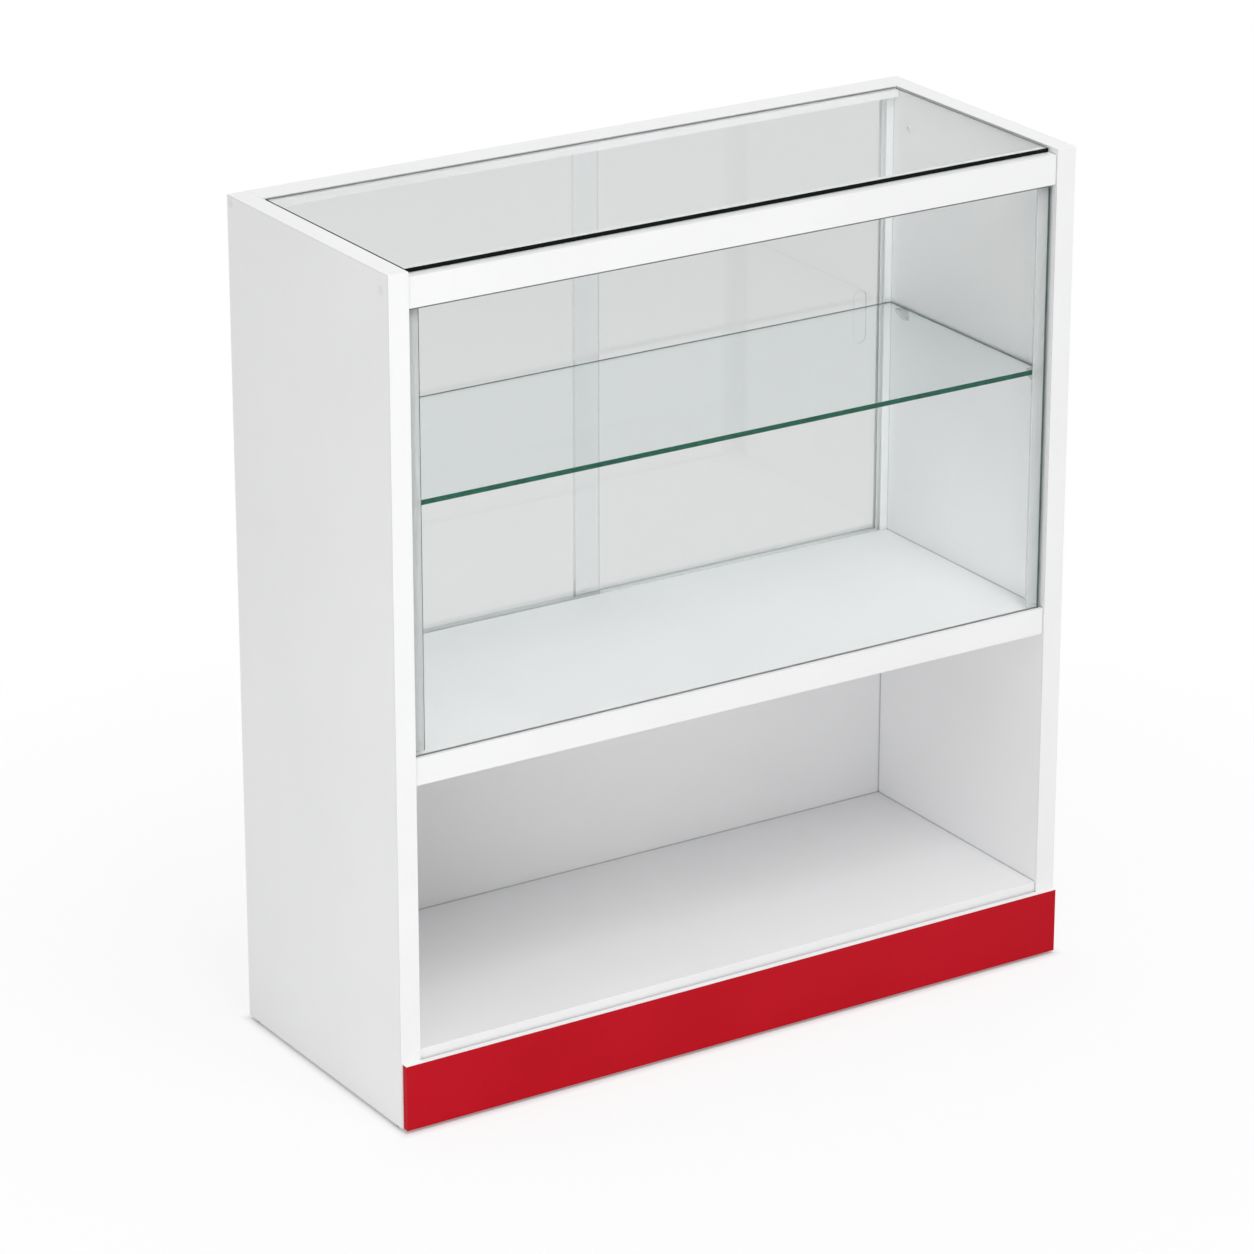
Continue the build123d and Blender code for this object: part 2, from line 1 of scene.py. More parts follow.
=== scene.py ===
# %% [markdown]
# # A glass display counter
# The object is a shop counter of white faced boards: a glazed display with a glass
# shelf above, an open space for bags below, a red kick board at the foot and two
# sliding glass doors at the rear. The boards, panes and fittings come from the packed
# CAD model and stay as they are. This lesson gives them softened edges and finishes,
# and adds the floor, the light and the camera.

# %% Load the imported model
import bpy
import bmesh
import math
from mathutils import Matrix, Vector


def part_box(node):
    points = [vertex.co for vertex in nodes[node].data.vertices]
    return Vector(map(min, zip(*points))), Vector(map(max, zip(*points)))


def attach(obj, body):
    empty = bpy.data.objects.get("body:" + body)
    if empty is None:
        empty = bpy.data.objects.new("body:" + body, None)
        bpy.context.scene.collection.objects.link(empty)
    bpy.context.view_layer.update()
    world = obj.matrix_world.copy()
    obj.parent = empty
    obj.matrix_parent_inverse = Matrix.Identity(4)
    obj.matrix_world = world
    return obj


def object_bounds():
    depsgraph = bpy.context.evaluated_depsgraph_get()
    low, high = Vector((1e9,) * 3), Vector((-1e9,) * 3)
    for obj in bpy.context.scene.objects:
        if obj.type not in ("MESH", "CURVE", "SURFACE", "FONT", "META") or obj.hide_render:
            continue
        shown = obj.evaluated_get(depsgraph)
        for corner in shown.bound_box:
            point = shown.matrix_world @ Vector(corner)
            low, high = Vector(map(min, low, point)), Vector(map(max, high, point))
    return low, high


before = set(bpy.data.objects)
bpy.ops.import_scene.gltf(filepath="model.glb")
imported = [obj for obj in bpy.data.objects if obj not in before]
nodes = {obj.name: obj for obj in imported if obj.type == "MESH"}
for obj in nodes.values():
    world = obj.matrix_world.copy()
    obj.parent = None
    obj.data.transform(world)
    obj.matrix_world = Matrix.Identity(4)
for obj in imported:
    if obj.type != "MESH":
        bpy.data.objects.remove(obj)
cad_low, cad_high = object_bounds()
print("pieces from the CAD model:", len(nodes))
print("size in metres:", [round(v, 4) for v in cad_high - cad_low])

# %% [markdown]
# ## The camera
# The counter stands turned, so that its front and its left side panel show, and it is
# seen from a little above its top. A long lens keeps the upright edges nearly parallel,
# as in a catalogue picture. The place was solved from the counter's own corners. The
# Standard view leaves the whites as bright as they are lit.

# %% Set up the camera
lens_mm, sensor_mm = 155.0, 36.0
camera_place = (-3.1477, -4.8615, 2.714)
turn, tilt = math.radians(32.563), math.radians(21.318)

camera_data = bpy.data.cameras.new("catalogue_camera")
camera_data.lens = lens_mm
camera_data.sensor_width = sensor_mm
camera = bpy.data.objects.new("catalogue_camera", camera_data)
bpy.context.collection.objects.link(camera)
camera.location = camera_place
camera.rotation_euler = (math.radians(90) - tilt, 0, -turn)
bpy.context.scene.camera = camera
bpy.context.scene.view_settings.view_transform = "Standard"
print("camera height:", round(camera.location.z, 3))

# %% [markdown]
# ## Small node helpers
# The floor, the room and every finish are wired from the same few nodes, so two short
# functions make them: one does a sum, the other turns a range of values into another.
# A third tells what a surface is looked at by. The camera gets the full white, glass
# and gloss get a share of it, and light that falls on things gets none, so the white
# that is seen doesn't light the object.

# %% Helpers for node trees
def sum_node(tree, operation, first, second=0.0):
    """The output of a math node. Each of first and second is a socket or a number."""
    node = tree.nodes.new("ShaderNodeMath")
    node.operation = operation
    for socket, value in zip(node.inputs, (first, second)):
        if isinstance(value, (int, float)):
            socket.default_value = value
        else:
            tree.links.new(value, socket)
    return node.outputs[0]


def range_node(tree, value, start, end, low, high):
    """The output of a node that turns start..end into low..high and stops there."""
    node = tree.nodes.new("ShaderNodeMapRange")
    limits = {"From Min": start, "From Max": end, "To Min": low, "To Max": high}
    for name, number in limits.items():
        node.inputs[name].default_value = number
    tree.links.new(value, node.inputs["Value"])
    return node.outputs[0]


def seen_or_mirrored(tree, in_glass):
    """1 for the camera, in_glass for what glass and gloss show, 0 for falling light."""
    path = tree.nodes.new("ShaderNodeLightPath")
    gloss, glass = path.outputs["Is Glossy Ray"], path.outputs["Is Transmission Ray"]
    shown = sum_node(tree, "MAXIMUM", gloss, glass)
    share = sum_node(tree, "MULTIPLY", shown, in_glass)
    return sum_node(tree, "MAXIMUM", path.outputs["Is Camera Ray"], share)


print("node helpers ready")

# %% [markdown]
# ## The floor
# A pale studio floor has no edge in view, so one wide sheet is enough. Its look is part
# matt white paint, which takes the object's shadow, and part a plain bright white for
# the camera alone. Further out the bright part takes over, so the picture ends in
# white. Under the counter's own outline it is weak, because the few millimetres of
# air under the boards are dark, and that gives the fine contact line at the foot.

# %% Lay the floor
floor_reach, floor_squares = 30.0, 8
floor_white = (0.90, 0.90, 0.90, 1)
near_distance, far_distance = 0.35, 1.3
bright_near, bright_far = 0.80, 1.0
bright_in_glass = 0.25
line_start, line_end = -0.002, 0.010
bright_under = 0.25


def bright_share(tree):
    """How much of the floor's look is the plain bright white, from place to place."""
    place = tree.nodes.new("ShaderNodeTexCoord").outputs["Object"]
    away = tree.nodes.new("ShaderNodeVectorMath")
    away.operation = "LENGTH"
    tree.links.new(place, away.inputs[0])
    distance = away.outputs["Value"]
    spread = range_node(tree, distance, near_distance, far_distance, bright_near, bright_far)
    split = tree.nodes.new("ShaderNodeSeparateXYZ")
    tree.links.new(place, split.inputs[0])
    sideways = sum_node(tree, "ABSOLUTE", split.outputs[0])
    endways = sum_node(tree, "ABSOLUTE", split.outputs[1])
    past_sides = sum_node(tree, "SUBTRACT", sideways, cad_high.x)
    past_ends = sum_node(tree, "SUBTRACT", endways, cad_high.y)
    past = sum_node(tree, "MAXIMUM", past_sides, past_ends)
    outside = range_node(tree, past, line_start, line_end, bright_under, 1.0)
    seen = sum_node(tree, "MULTIPLY", seen_or_mirrored(tree, bright_in_glass), spread)
    return sum_node(tree, "MULTIPLY", seen, outside)


def floor_paint():
    paint = bpy.data.materials.new("floor_paint")
    paint.use_nodes = True
    tree = paint.node_tree
    tree.nodes.clear()
    out = tree.nodes.new("ShaderNodeOutputMaterial")
    matt = tree.nodes.new("ShaderNodeBsdfDiffuse")
    matt.inputs["Color"].default_value = floor_white
    glow = tree.nodes.new("ShaderNodeEmission")
    glow.inputs["Strength"].default_value = 1.0
    blend = tree.nodes.new("ShaderNodeMixShader")
    tree.links.new(bright_share(tree), blend.inputs["Fac"])
    tree.links.new(matt.outputs[0], blend.inputs[1])
    tree.links.new(glow.outputs[0], blend.inputs[2])
    tree.links.new(blend.outputs[0], out.inputs["Surface"])
    return paint


def studio_floor():
    mesh = bpy.data.meshes.new("floor")
    form = bmesh.new()
    bmesh.ops.create_grid(
        form, x_segments=floor_squares, y_segments=floor_squares, size=floor_reach
    )
    form.to_mesh(mesh)
    form.free()
    floor = bpy.data.objects.new("floor", mesh)
    bpy.context.collection.objects.link(floor)
    mesh.materials.append(floor_paint())
    return floor


floor = studio_floor()
print("floor laid:", floor.name, "reach", floor_reach)

# %% [markdown]
# ## The light
# The room is white too: what glass mirrors and what is seen through it stays bright,
# while the light that falls on the boards is lower, so that white faces don't burn out.
# The main softbox hangs high in front, so that it reaches into the open space under the
# display floor. A weaker one is above, and a small one low on the left lifts the side
# panel towards its foot.

# %% Light the room
room_level = 0.71


def white_room(level):
    world = bpy.data.worlds.new("white_room")
    world.use_nodes = True
    bpy.context.scene.world = world
    tree = world.node_tree
    tree.nodes.clear()
    out = tree.nodes.new("ShaderNodeOutputWorld")
    seen = tree.nodes.new("ShaderNodeBackground")
    seen.inputs["Strength"].default_value = 1.0
    given = tree.nodes.new("ShaderNodeBackground")
    given.inputs["Strength"].default_value = level
    blend = tree.nodes.new("ShaderNodeMixShader")
    tree.links.new(seen_or_mirrored(tree, in_glass=1.0), blend.inputs["Fac"])
    tree.links.new(given.outputs[0], blend.inputs[1])
    tree.links.new(seen.outputs[0], blend.inputs[2])
    tree.links.new(blend.outputs[0], out.inputs["Surface"])


def soft_lamp(name, place, aim, size, power):
    data = bpy.data.lights.new(name, "AREA")
    data.shape = "SQUARE"
    data.size = size
    data.energy = power
    lamp = bpy.data.objects.new(name, data)
    bpy.context.collection.objects.link(lamp)
    lamp.location = place
    lamp.rotation_euler = (Vector(aim) - Vector(place)).to_track_quat("-Z", "Y").to_euler()


white_room(room_level)
soft_lamp("front_softbox", place=(-0.2, -3.2, 5.0), aim=(0, 0, 0.4), size=2.4, power=89)
soft_lamp("top_softbox", place=(0.3, -0.8, 4.6), aim=(0, 0, 0.5), size=3.0, power=31)
soft_lamp("left_softbox", place=(-2.7, -2.3, 0.4), aim=(-0.4, -0.1, 0.2), size=1.5, power=29)

# %% [markdown]
# ## A small kit for finishes
# Every finish starts from one shader and a few nodes, so a short class wires them. The
# places in the finishes are in metres on the object itself, so a grain of half a
# millimetre is a noise of about 2000 to the metre. A value that is the same all over
# is set on the shader's own socket, and only what varies gets nodes.

class Finish:
    """One material, with a skin shader, and a short way to wire its nodes."""

    def __init__(self, name):
        self.material = bpy.data.materials.new(name)
        self.material.use_nodes = True
        self.tree = self.material.node_tree
        self.tree.nodes.clear()
        self.out = self.add("ShaderNodeOutputMaterial")
        self.skin = self.add("ShaderNodeBsdfPrincipled")
        self.place = self.add("ShaderNodeTexCoord").outputs["Object"]
        self.join(self.skin.outputs[0], self.out.inputs["Surface"])

    def add(self, kind, **settings):
        node = self.tree.nodes.new(kind)
        for key, value in settings.items():
            setattr(node, key, value)
        return node

    def join(self, source, target):
        self.tree.links.new(source, target)

    def sum(self, operation, first, second=0.0):
        return sum_node(self.tree, operation, first, second)

    def over(self, value, limit):
        """1 where the value is over the limit, and 0 elsewhere."""
        return self.sum("GREATER_THAN", value, limit)

    def noise(self, per_metre, detail=2.0, stretch=(1, 1, 1)):
        mapping = self.add("ShaderNodeMapping")
        mapping.inputs["Scale"].default_value = stretch
        self.join(self.place, mapping.inputs["Vector"])
        node = self.add("ShaderNodeTexNoise")
        node.inputs["Scale"].default_value = per_metre
        node.inputs["Detail"].default_value = detail
        self.join(mapping.outputs[0], node.inputs["Vector"])
        return node.outputs[0]

    def ramp(self, value, low, high, start=0.3, end=0.7):
        """Turn the middle of a noise, or another start..end, into low..high."""
        return range_node(self.tree, value, start, end, low, high)

    def tint(self, share, first, second):
        """A colour between two, each of them a colour or a socket. Gives its output."""
        node = self.add("ShaderNodeMix", data_type="RGBA")
        self.join(share, node.inputs[0])
        for socket, colour in zip((node.inputs[6], node.inputs[7]), (first, second)):
            if isinstance(colour, bpy.types.NodeSocket):
                self.join(colour, socket)
            else:
                socket.default_value = (*colour, 1)
        return node.outputs[2]

    def blend(self, share, first, second):
        """A mix of two shaders. Share is a socket or a number. Gives its output."""
        node = self.add("ShaderNodeMixShader")
        if isinstance(share, (int, float)):
            node.inputs["Fac"].default_value = share
        else:
            self.join(share, node.inputs["Fac"])
        self.join(first, node.inputs[1])
        self.join(second, node.inputs[2])
        return node.outputs[0]

    def bump(self, value, height, strength=0.3):
        """A bump node, height in metres. Its output 0 is the bent normal."""
        node = self.add("ShaderNodeBump")
        node.inputs["Strength"].default_value = strength
        node.inputs["Distance"].default_value = height
        self.join(value, node.inputs["Height"])
        return node

    def facing(self):
        """Which way the surface faces, as three sockets for x, y and z."""
        split = self.add("ShaderNodeSeparateXYZ")
        self.join(self.add("ShaderNodeTexCoord").outputs["Normal"], split.inputs[0])
        return split.outputs


print("finish kit ready")

# %% [markdown]
# ## White faced board
# The boards are chipboard under a pressed paper and resin skin. The skin isn't quite
# smooth: a plate with fine pearls presses it, so highlights break up softly. A fine
# noise as bump gives the pearls, and a wide, very faint cloud in the colour keeps a big
# panel from looking like a paper cut-out. Where two boards meet, the colour darkens to a
# fine grey line of painted shade. An ambient occlusion node with a reach of just under
# three millimetres finds those corners wherever they are. The rails get a much fainter
# painted shade, because the gap beside the top glass is dark enough by itself.

# %% Make the white board
board_dark, board_light = (0.882, 0.884, 0.890), (0.906, 0.908, 0.913)
board_rough, resin_bend = (0.36, 0.50), 1.47
clouds_per_metre, waves_per_metre, pearls_per_metre = 5.0, 28.0, 900.0
wave_height, wave_strength = 0.0004, 0.06
pearl_height, pearl_strength = 0.00006, 0.35
# Painted shade: an ambient occlusion node darkens the colour to a grey line in inner corners.
corner_shade_reach, corner_shade_samples = 0.0028, 6
corner_shade_starts, corner_shade_ends = 0.50, 0.80
plain_corner_shade, faint_corner_shade = 0.45, 0.85


def faced_board(name, dark, light, rough, corner_shade_depth):
    """A pressed board skin. corner_shade_depth is how bright the painted corner shade is
    beside the board.
    """
    finish = Finish(name)
    cloud = finish.noise(clouds_per_metre, 3.0)
    shade = finish.tint(finish.ramp(cloud, 0, 1), dark, light)
    # Painted shade: where the ambient occlusion finds a corner, the colour turns darker.
    corner = finish.add("ShaderNodeAmbientOcclusion", samples=corner_shade_samples)
    corner.inputs["Distance"].default_value = corner_shade_reach
    open_air = finish.ramp(corner.outputs["AO"], 0, 1, corner_shade_starts, corner_shade_ends)
    colour = finish.tint(open_air, [v * corner_shade_depth for v in dark], shade)
    finish.join(colour, finish.skin.inputs["Base Color"])
    pearls = finish.noise(pearls_per_metre, 2.0)
    finish.join(finish.ramp(pearls, *rough), finish.skin.inputs["Roughness"])
    wave = finish.bump(finish.noise(waves_per_metre, 1.0), wave_height, wave_strength)
    press = finish.bump(pearls, pearl_height, pearl_strength)
    finish.join(wave.outputs[0], press.inputs["Normal"])
    finish.join(press.outputs[0], finish.skin.inputs["Normal"])
    finish.skin.inputs["IOR"].default_value = resin_bend
    return finish


white_board = faced_board("white_board_skin", board_dark, board_light, board_rough, plain_corner_shade)
rail_board = faced_board("rail_board_skin", board_dark, board_light, board_rough, faint_corner_shade)
print("made", white_board.material.name, "and", rail_board.material.name)

# %% [markdown]
# ## Edge strip
# The cut edges of the boards are closed by a one millimetre plastic strip, which is
# smoother and a shade brighter than the faces. It is trimmed with a scraper, which
# leaves faint long lines, so its noise is stretched along the strip.

# %% Make the edge strip
strip_rough = (0.30, 0.40)
scrapes_per_metre, strip_clouds_per_metre = 700.0, 9.0
scrape_height, scrape_strength = 0.00004, 0.2
scrape_stretch = (1, 1, 0.02)


def edge_strip(name, dark, light):
    finish = Finish(name)
    lines = finish.noise(scrapes_per_metre, 1.0, scrape_stretch)
    cloud = finish.noise(strip_clouds_per_metre, 2.0)
    shade = finish.tint(finish.ramp(cloud, 0, 1), dark, light)
    finish.join(shade, finish.skin.inputs["Base Color"])
    finish.join(finish.ramp(lines, *strip_rough), finish.skin.inputs["Roughness"])
    scrape = finish.bump(lines, scrape_height, scrape_strength)
    finish.join(scrape.outputs[0], finish.skin.inputs["Normal"])
    return finish


white_edging = edge_strip("white_edge_strip", (0.885, 0.888, 0.892), (0.905, 0.908, 0.911))
print("made", white_edging.material.name)

# %% [markdown]
# ## Red kick board
# The kick board is faced in red on its front and ends. Its top edge is white, which
# stands for a white strip and also paints the bright highlight along that edge, and its
# rear is plain white. The finish tells them apart by which way the surface faces, so one
# material does them all, and the line between them stays on the arris.

# %% Make the red board
red_dark, red_light = (0.48, 0.0030, 0.011), (0.52, 0.0045, 0.015)
red_rough, red_gloss = (0.44, 0.56), 0.10
strip_and_highlight_white = (0.88, 0.88, 0.88)
white_limit, rear_gain = 0.7, 0.4


def kick_board_finish():
    finish = faced_board("red_board_skin", red_dark, red_light, red_rough, plain_corner_shade)
    finish.skin.inputs["Specular IOR Level"].default_value = red_gloss
    # Painted highlight: faces turned up, and the rear, turn white for the top strip and the
    # highlight on its edge.
    facing = finish.facing()
    rearward = finish.sum("ADD", facing[1], rear_gain)
    strip_and_highlight_side = finish.over(finish.sum("MAXIMUM", facing[2], rearward), white_limit)
    red = finish.skin.inputs["Base Color"].links[0].from_socket
    colour = finish.tint(strip_and_highlight_side, red, strip_and_highlight_white)
    finish.join(colour, finish.skin.inputs["Base Color"])
    return finish


red_board = kick_board_finish()
print("made", red_board.material.name)

# %% [markdown]
# ## Float glass
# A pane is clear through its faces, but its edges show the whole depth of the slightly
# green glass, so they look dark green, and almost black on the top pane, which lies
# beside a white rail. The finish finds the edges by which way the surface faces. The
# top pane's rear and right edges are seen from inside the glass and look pale grey, and
# the doors' polished edges barely show. The front pane bends light a little less than
# real glass, which keeps the white room from veiling the display. Light from the lamps
# has to reach the inside, which real glass bends too finely for a renderer to follow,
# so for shadow rays alone the faces let light straight through.

# %% Make the glass
glass_bend, front_bend = 1.52, 1.30
face_limit, far_limit = 0.9, 0.5
pane_tint = (0.932, 0.944, 0.944)
shadow_tint = (0.900, 0.905, 0.903, 1)
wipes_per_metre, wiped_rough = 14.0, (0.0, 0.025)
grind_per_metre, ground_rough, grind_height = 1400.0, (0.16, 0.32), 0.00005
edge_clouds_per_metre = 60.0


def ground_edge(finish, dark, light, gloss, far_edge):
    """The look of a pane's edge. far_edge is another colour for its rear and right."""
    rim = finish.add("ShaderNodeBsdfPrincipled")
    rim.inputs["IOR"].default_value = glass_bend
    rim.inputs["Specular IOR Level"].default_value = gloss
    grind = finish.noise(grind_per_metre, 2.0)
    cloud = finish.noise(edge_clouds_per_metre, 2.0)
    tone = finish.tint(finish.ramp(cloud, 0, 1), dark, light)
    if far_edge:
        facing = finish.facing()
        far = finish.over(finish.sum("MAXIMUM", facing[0], facing[1]), far_limit)
        tone = finish.tint(far, tone, far_edge)
    finish.join(tone, rim.inputs["Base Color"])
    finish.join(finish.ramp(grind, *ground_rough), rim.inputs["Roughness"])
    finish.join(finish.bump(grind, grind_height).outputs[0], rim.inputs["Normal"])
    return rim.outputs[0]


def float_glass(
    name, thin_axis, edge_dark, edge_light,
    edge_gloss=0.2, edge_show=1.0, bend=glass_bend, body=pane_tint, far_edge=None,
):
    """Glass whose thin_axis is the way across the pane, 0 to 2 for x to z."""
    finish = Finish(name)
    across = finish.sum("ABSOLUTE", finish.facing()[thin_axis])
    face = finish.over(across, face_limit)
    finish.skin.inputs["Base Color"].default_value = (*body, 1)
    finish.skin.inputs["Transmission Weight"].default_value = 1.0
    finish.skin.inputs["IOR"].default_value = bend
    wipe = finish.noise(wipes_per_metre, 3.0)
    wiped = finish.ramp(wipe, *wiped_rough, start=0.45, end=0.75)
    finish.join(wiped, finish.skin.inputs["Roughness"])
    through = finish.add("ShaderNodeBsdfTransparent")
    through.inputs["Color"].default_value = shadow_tint
    rim = ground_edge(finish, edge_dark, edge_light, edge_gloss, far_edge)
    edge = finish.blend(edge_show, through.outputs[0], rim)
    pane = finish.blend(face, edge, finish.skin.outputs[0])
    shadow = finish.add("ShaderNodeLightPath").outputs["Is Shadow Ray"]
    face_shadow = finish.sum("MULTIPLY", shadow, face)
    whole = finish.blend(face_shadow, pane, through.outputs[0])
    finish.join(whole, finish.out.inputs["Surface"])
    return finish


lying_glass = float_glass(
    "lying_top_glass", 2, (0.0008, 0.003, 0.002), (0.002, 0.007, 0.005),
    edge_gloss=0.08, far_edge=(0.24, 0.31, 0.30),
)
shelf_glass = float_glass(
    "shelf_glass", 2, (0.0006, 0.074, 0.042), (0.0015, 0.110, 0.064),
    edge_gloss=0.04, body=(0.90, 0.935, 0.935),
)
front_pane = float_glass(
    "standing_glass", 1, (0.05, 0.10, 0.09), (0.09, 0.16, 0.145),
    bend=front_bend, body=(0.930, 0.936, 0.934),
)
door_pane = float_glass(
    "door_glass", 1, (0.55, 0.64, 0.62), (0.66, 0.74, 0.72),
    edge_gloss=0.3, edge_show=0.12, body=(0.958, 0.970, 0.971),
)
print("made", [f.material.name for f in (lying_glass, shelf_glass, front_pane, door_pane)])

# %% [markdown]
# ## Clear plastics
# The beads that hold the front pane, the pads under the top pane and the shelf pegs are
# clear plastic, less clear than glass and a little milky. Milk is how much of the
# plastic shows, and the rest lets light straight through. The left bead shows its cut
# edge, which reads as a dark line, so its finish turns dark past the x of that edge.

# %% Make the clear plastics
clear_dark, clear_light = (0.81, 0.82, 0.82), (0.88, 0.89, 0.89)
clear_rough, clear_bend = (0.10, 0.24), 1.49
through_tint = (0.97, 0.98, 0.98, 1)
draws_per_metre = 500.0
along_x, along_z = (0.05, 1, 1), (1, 1, 0.05)
cut_edge_dark, cut_edge_milk = (0.22, 0.25, 0.25), 0.85
left_bead_cut = -0.4077


def clear_plastic_finish(name, milk, bright=1.0, cut_at=None):
    """See-through plastic. bright scales its colour, and cut_at is a cut edge's x."""
    finish = Finish(name)
    finish.skin.inputs["IOR"].default_value = clear_bend
    draw = finish.noise(draws_per_metre, 1.0, along_z)
    dark, light = [[v * bright for v in colour] for colour in (clear_dark, clear_light)]
    shade = finish.tint(finish.ramp(draw, 0, 1), dark, light)
    finish.join(finish.ramp(draw, *clear_rough), finish.skin.inputs["Roughness"])
    if cut_at is not None:
        split = finish.add("ShaderNodeSeparateXYZ")
        finish.join(finish.place, split.inputs[0])
        cut = finish.over(split.outputs[0], cut_at)
        shade = finish.tint(cut, shade, cut_edge_dark)
        milk = finish.ramp(cut, milk, cut_edge_milk, start=0.0, end=1.0)
    finish.join(shade, finish.skin.inputs["Base Color"])
    through = finish.add("ShaderNodeBsdfTransparent")
    through.inputs["Color"].default_value = through_tint
    whole = finish.blend(milk, through.outputs[0], finish.skin.outputs[0])
    finish.join(whole, finish.out.inputs["Surface"])
    return finish


pad_plastic = clear_plastic_finish("clear_pad_plastic", milk=0.12)
peg_plastic = clear_plastic_finish("clear_peg_plastic", milk=0.5, bright=0.8)
left_bead_plastic = clear_plastic_finish(
    "left_bead_plastic", milk=0.55, bright=1.08, cut_at=left_bead_cut
)
right_bead_plastic = clear_plastic_finish("right_bead_plastic", milk=0.40, bright=1.08)
print("made the clear plastics")

# %% [markdown]
# ## Solid plastics
# The door channels are a light grey extrusion with faint draw lines along their length,
# so their noise is stretched that way. The jambs are paler than the tracks, partly their
# own colour and partly painted light that lifts the shade deep in their channels. The
# caps and sockets are white moulded plastic and the glides are black. One helper makes
# them all, with a fine moulded grain.

# %% Make the solid plastics
rough_spread, moulded_height, moulded_strength = 0.06, 0.00005, 0.25


def plastic(name, dark, light, rough, grain, stretch=(1, 1, 1)):
    """Solid plastic. grain is the number of specks or draw lines to the metre."""
    finish = Finish(name)
    fine = finish.noise(grain, 2.0, stretch)
    shade = finish.tint(finish.ramp(fine, 0, 1), dark, light)
    finish.join(shade, finish.skin.inputs["Base Color"])
    worn = finish.ramp(fine, rough - rough_spread, rough + rough_spread)
    finish.join(worn, finish.skin.inputs["Roughness"])
    press = finish.bump(fine, moulded_height, moulded_strength)
    finish.join(press.outputs[0], finish.skin.inputs["Normal"])
    return finish


track_plastic = plastic(
    "pale_channel", (0.80, 0.82, 0.82), (0.85, 0.87, 0.87), 0.42, draws_per_metre, along_x
)
# Painted light: the jambs' colour is raised above the tracks' to lift the shade in their
# channels.
lit_jamb_plastic = plastic(
    "pale_jamb_and_painted_light", (0.88, 0.90, 0.90), (0.92, 0.935, 0.935), 0.42, draws_per_metre, along_z
)
white_plastic = plastic(
    "white_moulding", (0.80, 0.81, 0.82), (0.86, 0.87, 0.88), rough=0.32, grain=1200.0
)
black_plastic = plastic(
    "black_glide", (0.010, 0.010, 0.010), (0.028, 0.028, 0.028), rough=0.50, grain=900.0
)
print("made the solid plastics")

# %% [markdown]
# ## Metals
# Screws, angles and bolts are zinc plated: bright, slightly blue, with cloudy patches
# where the plating took differently. The cam discs are cast, so they are duller and
# grainier. Both are one helper with a wide patch noise and a fine grain.

# %% Make the metals
patches_per_metre = 120.0
smoother, rougher = 0.07, 0.09


def metal(name, dark, light, rough, grain, height):
    """Bare or plated metal, with grains to the metre and their height in metres."""
    finish = Finish(name)
    finish.skin.inputs["Metallic"].default_value = 1.0
    patch = finish.noise(patches_per_metre, 3.0)
    shade = finish.tint(finish.ramp(patch, 0, 1), dark, light)
    finish.join(shade, finish.skin.inputs["Base Color"])
    worn = finish.ramp(patch, rough - smoother, rough + rougher)
    finish.join(worn, finish.skin.inputs["Roughness"])
    fine = finish.bump(finish.noise(grain, 2.0), height)
    finish.join(fine.outputs[0], finish.skin.inputs["Normal"])
    return finish


zinc_steel = metal(
    "zinc_plating", (0.58, 0.61, 0.66), (0.72, 0.74, 0.77),
    rough=0.30, grain=1500.0, height=0.00003,
)
cast_zinc = metal(
    "cast_disc", (0.44, 0.45, 0.47), (0.58, 0.59, 0.61),
    rough=0.48, grain=900.0, height=0.00012,
)
print("made", zinc_steel.material.name, "and", cast_zinc.material.name)

# %% [markdown]
# ## Beech
# The dowels are plain beech, which has short dark flecks along its grain. The dowels
# lie along x, so a fine noise stretched that way gives the flecks, in the colour and as
# a faint bump.

# %% Make the beech
fleck_brown, beech_brown = (0.42, 0.25, 0.12), (0.66, 0.47, 0.29)
flecks_per_metre, fleck_stretch = 900.0, (0.08, 1, 1)
fleck_height, fleck_strength, beech_rough = 0.0001, 0.4, 0.6


def beech_wood():
    finish = Finish("beech_wood")
    flecks = finish.noise(flecks_per_metre, 2.0, fleck_stretch)
    share = finish.ramp(flecks, 0, 1, start=0.35, end=0.65)
    finish.join(finish.tint(share, fleck_brown, beech_brown), finish.skin.inputs["Base Color"])
    finish.skin.inputs["Roughness"].default_value = beech_rough
    raised = finish.bump(flecks, fleck_height, fleck_strength)
    finish.join(raised.outputs[0], finish.skin.inputs["Normal"])
    return finish


beech = beech_wood()
print("made", beech.material.name)

# %% [markdown]
# ## Dress the pieces
# No real edge is perfectly sharp: the strips are scraped to a small round and glass
# edges are ground. The CAD faces are cut into triangles, so first the points are
# welded and flat triangles joined, and then a bevel rounds only the true corners. All
# of it is a stack of modifiers, so the CAD meshes under it don't change. Small moulded
# and metal pieces keep the edges that the CAD gave them.

# %% Give every piece its finish
weld_distance = 0.00001
flat_angle, corner_angle = math.radians(0.5), math.radians(50)
arris_steps = 2
board_arris, strip_arris, kick_arris, glass_arris = 0.0004, 0.0003, 0.0005, 0.0003


def soften(piece, width):
    weld = piece.modifiers.new("weld", "WELD")
    weld.merge_threshold = weld_distance
    flat = piece.modifiers.new("join_flats", "DECIMATE")
    flat.decimate_type = "DISSOLVE"
    flat.angle_limit = flat_angle
    arris = piece.modifiers.new("arris", "BEVEL")
    arris.width = width
    arris.segments = arris_steps
    arris.limit_method = "ANGLE"
    arris.angle_limit = corner_angle
    arris.use_clamp_overlap = True


def dress(finish, names, arris=0.0):
    """Give the named pieces a finish and soft corners, and count them."""
    for name in names:
        piece = nodes[name]
        piece.data.materials.clear()
        piece.data.materials.append(finish.material)
        if arris:
            soften(piece, arris)
    return len(names)


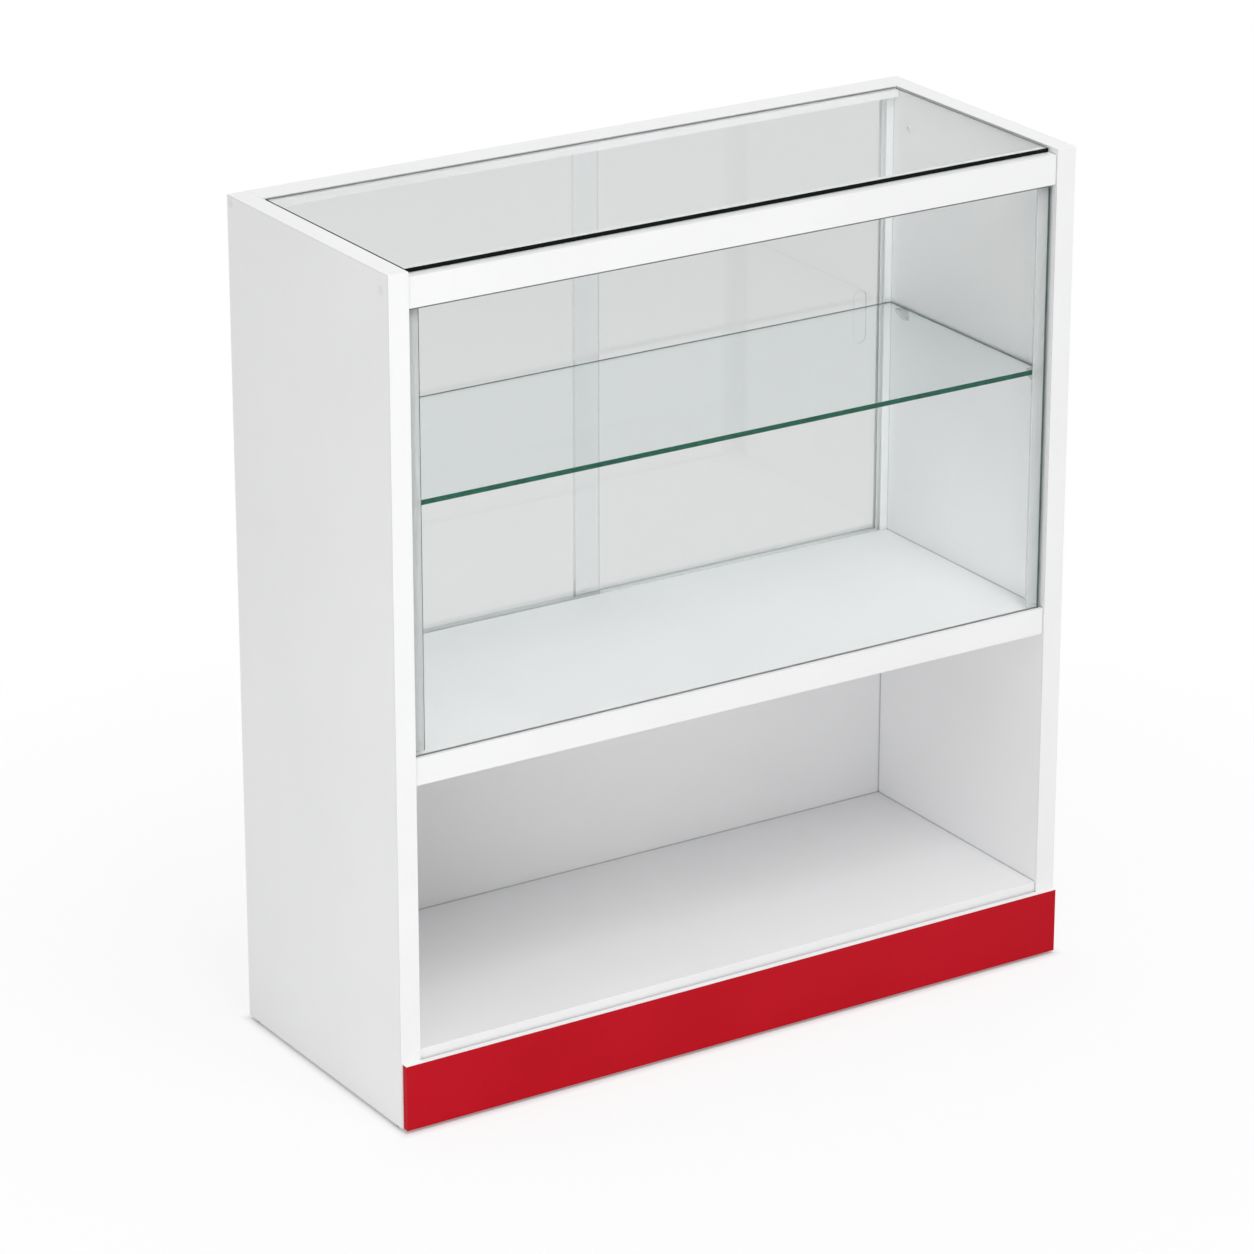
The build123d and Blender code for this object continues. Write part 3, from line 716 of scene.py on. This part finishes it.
side_boards = ["left_side_panel", "right_side_panel"]
cross_boards = ["display_floor", "base_board", "lower_back_panel", "rear_plinth"]
strips = ["left_panel_edging", "right_panel_edging", "left_panel_top_edging",
          "right_panel_top_edging", "board_edging"]
steel_pieces = ["kick_board_angles", "kick_board_screws", "glide_nails", "rail_screws",
                "cam_bolts"]

dressed = dress(white_board, side_boards + cross_boards, board_arris)
dressed += dress(rail_board, ["front_top_rail", "rear_top_rail"], board_arris)
dressed += dress(white_edging, strips, strip_arris)
dressed += dress(red_board, ["kick_board"], kick_arris)
dressed += dress(lying_glass, ["top_glass"], glass_arris)
dressed += dress(shelf_glass, ["glass_shelf"], glass_arris)
dressed += dress(front_pane, ["front_glass"], glass_arris)
dressed += dress(door_pane, ["left_sliding_door", "right_sliding_door"], glass_arris)
dressed += dress(pad_plastic, ["top_glass_pads"])
dressed += dress(peg_plastic, ["shelf_pegs"])
dressed += dress(left_bead_plastic, ["left_glass_bead"])
dressed += dress(right_bead_plastic, ["right_glass_bead"])
dressed += dress(track_plastic, ["lower_door_track", "upper_door_track"])
dressed += dress(lit_jamb_plastic, ["left_door_jamb", "right_door_jamb"])
dressed += dress(white_plastic, ["shelf_sockets", "screw_caps"])
dressed += dress(black_plastic, ["glides"])
dressed += dress(zinc_steel, steel_pieces)
dressed += dress(cast_zinc, ["cam_discs"])
dressed += dress(beech, ["dowels"])
print("dressed", dressed, "of", len(nodes), "pieces")

# %% [markdown]
# ## The glazing strip and its painted shade
# Where the front pane enters the groove of the top rail, a thin dark grey strip closes the
# slot in front of and behind the glass. It stands for a glazing seal and also paints the
# shadow gap under the rail, so it reads as one fine dark line under the rail.
# It is two slim rounded bars, made as curves with an oval for a section, so their ends
# and arrises are soft without any further work. Each is turned into a mesh, so that it
# takes a finish as the other pieces do.

# %% Make the glazing strip
bar_height, bar_thickness = 0.0030, 0.0008


def slim_bar(name, start, end, height, thickness):
    """A straight bar with an oval section, from start to end."""
    section = bpy.data.curves.new(name + "_section", "CURVE")
    oval = section.splines.new("BEZIER")
    oval.bezier_points.add(3)
    corners = ((0, height / 2), (thickness / 2, 0), (0, -height / 2), (-thickness / 2, 0))
    for point, (across, up) in zip(oval.bezier_points, corners):
        point.co = (across, up, 0)
        point.handle_left_type = point.handle_right_type = "AUTO"
    oval.use_cyclic_u = True
    shape = bpy.data.objects.new(name + "_section", section)
    line = bpy.data.curves.new(name, "CURVE")
    line.dimensions = "3D"
    path = line.splines.new("POLY")
    path.points.add(1)
    path.points[0].co = (*start, 1)
    path.points[1].co = (*end, 1)
    line.bevel_mode = "OBJECT"
    line.bevel_object = shape
    line.use_fill_caps = True
    bar = bpy.data.objects.new(name + "_path", line)
    bpy.context.collection.objects.link(bar)
    bpy.context.collection.objects.link(shape)
    bpy.context.view_layer.update()
    ready = bar.evaluated_get(bpy.context.evaluated_depsgraph_get())
    piece = bpy.data.objects.new(name, bpy.data.meshes.new_from_object(ready))
    bpy.context.collection.objects.link(piece)
    bpy.data.objects.remove(bar)
    bpy.data.objects.remove(shape)
    for face in piece.data.polygons:
        face.use_smooth = True
    return piece


# Painted shade: the dark grey stands for the seal and for the shadow gap under the rail.
seal_and_shade_grey = plastic(
    "glazing_seal_and_painted_shade", (0.16, 0.17, 0.17), (0.22, 0.23, 0.23), 0.55, 700.0, along_x
)
pane_low, pane_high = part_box("front_glass")
rail_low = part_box("front_top_rail")[0]
bar_z = rail_low.z - bar_height / 2
front_y, rear_y = pane_low.y - bar_thickness / 2, pane_high.y + bar_thickness / 2
for side, y in (("front", front_y), ("rear", rear_y)):
    start, end = (pane_low.x, y, bar_z), (pane_high.x, y, bar_z)
    bar = slim_bar("glazing_seal_and_shade_" + side, start, end, bar_height, bar_thickness)
    bar.data.materials.append(seal_and_shade_grey.material)
    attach(bar, "carcass")
    print(bar.name, [round(v * 1000, 2) for v in bar.dimensions])
